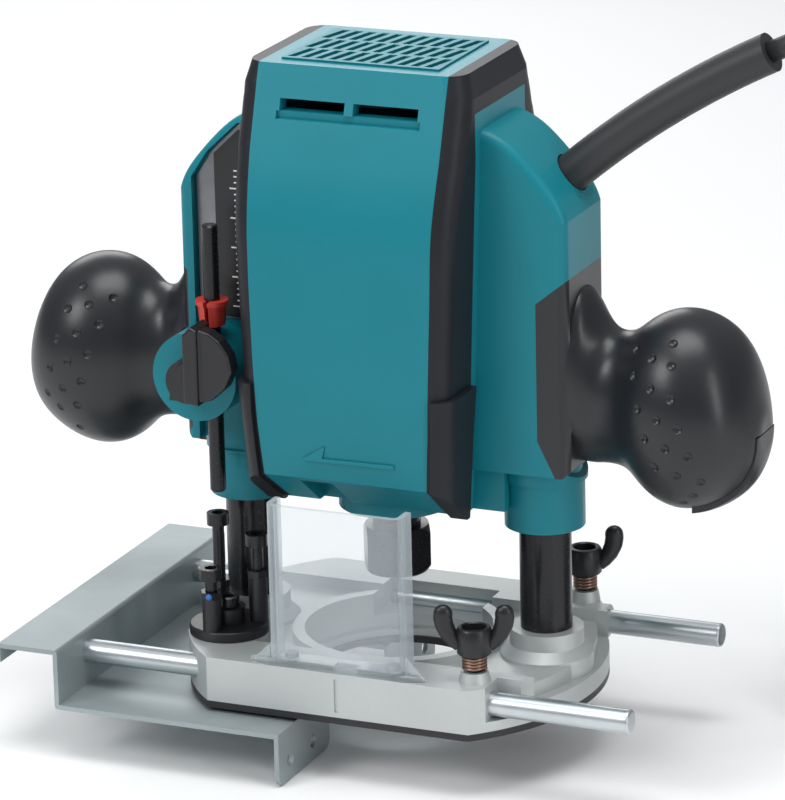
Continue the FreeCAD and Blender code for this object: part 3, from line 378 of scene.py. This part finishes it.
# ------------------------------------------------------------------ motor
# A series motor on two ball bearings: varnished windings in stacked plates, a copper
# commutator with graphite brushes in bronze boxes, and black mouldings for fan and bridge.
black = finish("black_moulding", (0.010, 0.010, 0.012), 0.36, grain=1600.0, depth=0.00001)
copper = finish("bare_copper", (0.62, 0.28, 0.15), 0.3, metallic=1.0)
varnish = finish("varnished_winding", (0.34, 0.10, 0.03), 0.25, grain=400.0, depth=0.0001,
                 streak=(1, 1, 0.1))
lamination = finish("lamination", (0.18, 0.19, 0.20), 0.45, metallic=0.8, grain=700.0, streak=(0.1, 0.1, 6))
carbon = finish("graphite", (0.02, 0.02, 0.021), 0.5)
wear(bright, "lower_bearing", "upper_bearing", "spindle_shaft")
wear(lamination, "field_core", "armature_core")
wear(varnish, "field_coils", "armature_windings")
wear(copper, "commutator")
wear(bronze, "brush_holders")
wear(carbon, "carbon_brushes")
wear(black, "fan_baffle", "cooling_fan", "bearing_bridge")

# ------------------------------------------------------------------ collet
# A ground steel cone that closes on the cutter's shank, drawn in by a nut with a black
# oxide finish.
wear(bright, "collet_cone")
wear(oxide, "collet_nut")

# ------------------------------------------------------------------ switch
# A black moulded trigger in the right grip presses the switch behind it and is pushed
# back by a short spring of dull wire.
wear(black, "switch_trigger", "switch_body")
wear(spring_wire, "trigger_spring")

# ------------------------------------------------------------------ grips
# Round rubber grips, each in two shells joined front to back, with small round dimples in
# loose rows pressed into the front shells.
rubber = finish("grip_rubber", (0.0125, 0.0135, 0.0165), 0.32, grain=1700.0, depth=0.000010)
DIMPLE_R = 0.0021
DIMPLE_SINK = 0.0007
DIMPLE_STEP = 0.0072
BALL_OUT = 0.104
BALL_HEIGHT = 0.103
# A row is the first dimple's distance out and its height, the fall to the next, and their number.
RIGHT_ROWS = [(0.1039, 0.1290, 0.0, 1), (0.0906, 0.1252, 0.00105, 3), (0.0917, 0.1180, 0.00225, 3),
              (0.0945, 0.1087, 0.00215, 3), (0.0973, 0.0997, 0.0022, 3), (0.1001, 0.0905, 0.00235, 3),
              (0.1109, 0.0800, 0.0, 1), (0.1066, 0.0765, 0.0, 1)]
LEFT_ROWS = [(0.1044, 0.1283, 0.0, 1), (0.0934, 0.1250, 0.0017, 3), (0.0961, 0.1174, 0.00275, 3),
             (0.0991, 0.1079, 0.0029, 3), (0.1018, 0.0984, 0.00305, 3), (0.1045, 0.0895, 0.0018, 2),
             (0.1066, 0.0800, 0.0, 1)]
wear(rubber, "handle_right_front", "handle_right_rear", "handle_left_front", "handle_left_rear")
for grip, side, rows in (("handle_right_front", 1, RIGHT_ROWS), ("handle_left_front", -1, LEFT_ROWS)):
    grip_place = nodes[grip].matrix_world.copy()
    skin = BVHTree.FromObject(nodes[grip], bpy.context.evaluated_depsgraph_get())
    rearward = grip_place.inverted().to_3x3() @ Vector((0, 1, 0))
    ball = bmesh.new()
    for first_out, first_height, fall, count in rows:
        for number in range(count):
            before = Vector((side * (first_out + number * DIMPLE_STEP), -0.1, first_height - number * fall))
            place = grip_place @ skin.ray_cast(grip_place.inverted() @ before, rearward)[0]
            outward = (place - Vector((side * BALL_OUT, 0.0, BALL_HEIGHT))).normalized()
            seat = place + outward * (DIMPLE_R * 1.15 - DIMPLE_SINK)
            bmesh.ops.create_uvsphere(ball, u_segments=16, v_segments=10, radius=DIMPLE_R * 1.15,
                                      matrix=Matrix.Translation(seat))
    cutter_mesh = bpy.data.meshes.new(grip + "_dimples")
    ball.to_mesh(cutter_mesh)
    ball.free()
    cutter_mesh.materials.append(rubber)
    cutter = bpy.data.objects.new(grip + "_dimples", cutter_mesh)
    bpy.context.scene.collection.objects.link(cutter)
    cutter.parent = nodes[grip]
    cutter.matrix_parent_inverse = nodes[grip].matrix_world.inverted()
    cutter.hide_render = True
    pressed = nodes[grip].modifiers.new("dimples", "BOOLEAN")
    pressed.operation = "DIFFERENCE"
    pressed.object = cutter
    pressed.solver = "EXACT"

# ------------------------------------------------------------------ chip deflector
# One clear moulding, two millimetres thick. Its walls are nearly invisible from the front and
# turn milky where they are seen edge-on.
CLEAR_FRONT = 0.20
CLEAR_EDGE = 0.80

clear = bpy.data.materials.new("clear_moulding")
clear.use_nodes = True
clear_tree = clear.node_tree
clear_shader = clear_tree.nodes["Principled BSDF"]
clear_shader.inputs["Roughness"].default_value = 0.07
clear_mist = clear_tree.nodes.new("ShaderNodeTexNoise")
clear_mist.inputs["Scale"].default_value = 60.0
clear_tint = clear_tree.nodes.new("ShaderNodeValToRGB")
clear_tint.color_ramp.elements[0].color = (0.60, 0.68, 0.72, 1)
clear_tint.color_ramp.elements[1].color = (0.74, 0.80, 0.83, 1)
clear_tree.links.new(clear_mist.outputs["Fac"], clear_tint.inputs["Fac"])
clear_tree.links.new(clear_tint.outputs["Color"], clear_shader.inputs["Base Color"])
clear_grazing = clear_tree.nodes.new("ShaderNodeLayerWeight")
clear_grazing.inputs["Blend"].default_value = 0.35
clear_density = clear_tree.nodes.new("ShaderNodeMapRange")
clear_density.inputs["To Min"].default_value = CLEAR_FRONT
clear_density.inputs["To Max"].default_value = CLEAR_EDGE
clear_tree.links.new(clear_grazing.outputs["Facing"], clear_density.inputs["Value"])
clear_tree.links.new(clear_density.outputs["Result"], clear_shader.inputs["Alpha"])
wear(clear, "chip_deflector")

# ------------------------------------------------------------------ wing screws
# Black moulded wing screws that clamp the guide rods: a cupped hub with a flat foot
# and two thick, round-ended wings that lean outwards.
wear(black, "clamp_screw_front", "clamp_screw_rear")
HUB_PROFILE = [
    (0.0, 0.0150), (0.0024, 0.0150), (0.0024, 0.0268), (0.0052, 0.0268), (0.0057, 0.0274), (0.0057, 0.0352),
    (0.0052, 0.0359), (0.0043, 0.0361), (0.0038, 0.0357), (0.0036, 0.0335), (0.0012, 0.0330), (0.0, 0.0330)]
WING_PATH = [
    (0.0046, 0.0298), (0.0066, 0.0315), (0.0084, 0.0338), (0.0096, 0.0366), (0.0100, 0.0392),
    (0.0099, 0.0404)]
WING_R = 0.0031
WING_TURN = math.radians(20.0)


def lathe(profile, sides):
    """Points and faces of a turned shape from (radius, height) pairs that start and end on the axis."""
    verts, faces, rings = [], [], []
    for radius, height in profile:
        if radius == 0.0:
            rings.append([len(verts)])
            verts.append(Vector((0, 0, height)))
        else:
            rings.append(list(range(len(verts), len(verts) + sides)))
            for k in range(sides):
                angle = 2 * math.pi * k / sides
                verts.append(Vector((radius * math.cos(angle), radius * math.sin(angle), height)))
    for lower, upper in zip(rings, rings[1:]):
        for k in range(sides):
            n = (k + 1) % sides
            if len(lower) == 1:
                faces.append((lower[0], upper[k], upper[n]))
            elif len(upper) == 1:
                faces.append((lower[k], lower[n], upper[0]))
            else:
                faces.append((lower[k], lower[n], upper[n], upper[k]))
    return verts, faces


def joined(*shapes):
    """One list of points and one of faces from several shapes."""
    verts, faces = [], []
    for more_verts, more_faces in shapes:
        faces += [tuple(index + len(verts) for index in face) for face in more_faces]
        verts += [Vector(v) for v in more_verts]
    return verts, faces


def finger(path, radius, sides=18, thin=0.72):
    """A round-ended finger along a path in the XZ plane, flattened across Y."""
    points = [Vector((x, 0.0, z)) for x, z in path]
    line = []
    for a, b in zip(points, points[1:]):
        for k in range(5):
            line.append(a.lerp(b, k / 5))
    line.append(points[-1])
    tip = line[-1] - line[-2]
    for k in range(1, 9):
        line.append(points[-1] + tip.normalized() * radius * math.sin(math.pi / 2 * k / 8) * 0.98)
    total = sum((b - a).length for a, b in zip(line, line[1:]))
    cap_from = 1.0 - radius * 0.98 / total

    def swell(share):
        base = radius * (0.80 + 0.20 * min(1.0, share / 0.6))
        if share <= cap_from:
            return base
        return base * math.sqrt(max(0.0004, 1 - ((share - cap_from) / (1 - cap_from)) ** 2))

    verts, faces = tube_along(line, swell, sides)
    return [Vector((v.x, v.y * thin, v.z)) for v in verts], faces


for knob, body in (("clamp_screw_front", "rod_clamp_front"), ("clamp_screw_rear", "rod_clamp_rear")):
    low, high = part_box(knob)
    wing_right = finger(WING_PATH, WING_R)
    wing_left = ([Vector((-v.x, -v.y, v.z)) for v in wing_right[0]], wing_right[1])
    wings = joined(lathe(HUB_PROFILE, 40), wing_right, wing_left)
    over_boss = Matrix.Translation(Vector(((low.x + high.x) / 2, (low.y + high.y) / 2, 0.0)))
    turned = over_boss @ Matrix.Rotation(WING_TURN, 4, "Z")
    wing_screw = new_piece(knob + "_moulding", ([turned @ v for v in wings[0]], wings[1]), body, black)
    softened = wing_screw.modifiers.new("crisp", "EDGE_SPLIT")
    softened.split_angle = math.radians(40)
    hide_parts(knob)

# ------------------------------------------------------------------ clamp springs
# A short coil of dull wire sits between each clamp boss and its wing screw,
# four and a half open turns.
wear(spring_wire, "clamp_springs")
COIL_WIRE_R = 0.00055
COIL_MEAN_R = 0.0036
COIL_STEPS = 26
WIRE_STEPS = 4 * COIL_STEPS + 13
for number, knob in enumerate(("clamp_screw_front", "clamp_screw_rear")):
    low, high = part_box(knob)
    middle = ((low.x + high.x) / 2, (low.y + high.y) / 2)
    spring_low, spring_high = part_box("clamp_springs")
    wire_line = []
    for step in range(WIRE_STEPS + 1):
        turn_angle = 2 * math.pi * step / COIL_STEPS
        rise = (spring_high.z - spring_low.z - 2 * COIL_WIRE_R) * step / WIRE_STEPS
        wire_line.append(Vector((
            middle[0] + COIL_MEAN_R * math.cos(turn_angle),
            middle[1] + COIL_MEAN_R * math.sin(turn_angle),
            spring_low.z + COIL_WIRE_R + rise)))
    coil = new_piece("clamp_spring_%d" % number, tube_along(wire_line, lambda share: COIL_WIRE_R, 10),
                     "base", spring_wire)
    if number == 0:
        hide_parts("clamp_springs")

# ------------------------------------------------------------------ stop turret
# A black moulded turret that clicks round on the base, with three stop screws of different
# heights and their lock nuts, black oxide. The shortest has a small dab of blue marking paint.
wear(black, "stop_turret")
wear(oxide, "turret_screw", "stop_screw_1", "stop_screw_2", "stop_screw_3", "stop_lock_nuts")
dab_paint = finish("marking_paint", (0.03, 0.16, 0.50), 0.4)
short_low, short_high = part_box("stop_screw_3")
dab_at = Vector(((short_low.x + short_high.x) / 2 + 0.0008, short_low.y + 0.0002, 0.0334))
DAB_PROFILE = [(0.0, -0.0011), (0.0008, -0.0008), (0.0012, 0.0), (0.0008, 0.0008), (0.0, 0.0011)]
dab_verts, dab_faces = lathe(DAB_PROFILE, 14)
new_piece("paint_dot", ([dab_at + v for v in dab_verts], dab_faces), "turret", dab_paint)

# ------------------------------------------------------------------ depth stop
# A round steel rod with a black oxide finish slides in the housing. A red moulded pointer
# clips on it, and a black knob with a paddle clamps it.
red = finish("red_moulding", (0.60, 0.045, 0.032), 0.36, mottle=0.03)
wear(oxide, "depth_rod")
wear(red, "depth_pointer")
wear(black, "depth_clamp_knob")

# ------------------------------------------------------------------ depth scale
# Brushed foil plate with a black scale beside the rod: fine white marks every two
# millimetres and longer ones every ten. It carries no figures.
foil = finish("brushed_foil", (0.20, 0.205, 0.215), 0.34, metallic=0.85, grain=240.0, depth=0.00004,
              mottle=0.35, streak=(0.5, 1.0, 9.0))
wear(foil, "depth_scale_plate")
ink = finish("scale_ink", (0.012, 0.012, 0.014), 0.35)
mark_white = finish("scale_marks", (0.80, 0.82, 0.83), 0.5)
scale_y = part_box("depth_scale_plate")[0].y


def plate(corners, y_front, y_back):
    """Points and faces of a flat plate across Y from (x, z) corners."""
    count = len(corners)
    verts = [Vector((x, y_front, z)) for x, z in corners] + [Vector((x, y_back, z)) for x, z in corners]
    faces = [tuple(range(count)), tuple(range(2 * count - 1, count - 1, -1))]
    for k in range(count):
        n = (k + 1) % count
        faces.append((k, k + count, n + count, n))
    return verts, faces


def bar(x_low, x_high, y_low, y_high, z_low, z_high):
    """Points and faces of a small upright block."""
    return plate([(x_low, z_low), (x_high, z_low), (x_high, z_high), (x_low, z_high)], y_low, y_high)


GROUND_LEFT = -0.0560
GROUND_RIGHT = -0.0432
GROUND_FOOT = 0.1225
GROUND_TOP = 0.1862
scale_ground = plate(
    [(GROUND_LEFT, GROUND_FOOT), (GROUND_RIGHT, GROUND_FOOT), (GROUND_RIGHT, GROUND_TOP),
     (-0.0470, GROUND_TOP), (GROUND_LEFT, 0.1776)],
    scale_y - 0.00008, scale_y - 0.00001)
new_piece("scale_ground", scale_ground, "motor_unit", ink, smooth=False)
MARKS_RIGHT = -0.0464
FIRST_MARK = 0.1260
MARK_PITCH = 0.0020
marks = []
for number in range(24):
    mark_z = FIRST_MARK + MARK_PITCH * number
    reach = 0.0042 if number % 5 == 0 else 0.0026
    marks.append(bar(MARKS_RIGHT - reach, MARKS_RIGHT, scale_y - 0.00014, scale_y - 0.00009,
                     mark_z, mark_z + 0.0005))
new_piece("scale_marks", joined(*marks), "motor_unit", mark_white, smooth=False)

# ------------------------------------------------------------------ turning arrow
# A thin raised arrow, moulded in the teal of the front panel near its foot,
# shows which way the cutter turns.
ARROW_FRONT = -0.04222
ARROW_BACK = -0.0410
arrow = joined(
    plate([(-0.0142, 0.0862), (-0.0062, 0.0912), (-0.0073, 0.0868)], ARROW_FRONT, ARROW_BACK),
    plate([(-0.0142, 0.0862), (-0.0073, 0.0868), (0.0178, 0.0871), (0.0178, 0.0859), (-0.0142, 0.0856)],
          ARROW_FRONT, ARROW_BACK))
new_piece("turning_arrow", arrow, "motor_unit", teal, smooth=False)

# ------------------------------------------------------------------ plunge lock
# A black moulded lever behind the left sleeve turns on a plated screw and holds the
# motor unit at its depth.
wear(black, "lock_lever")
wear(zinc, "lock_lever_screw")
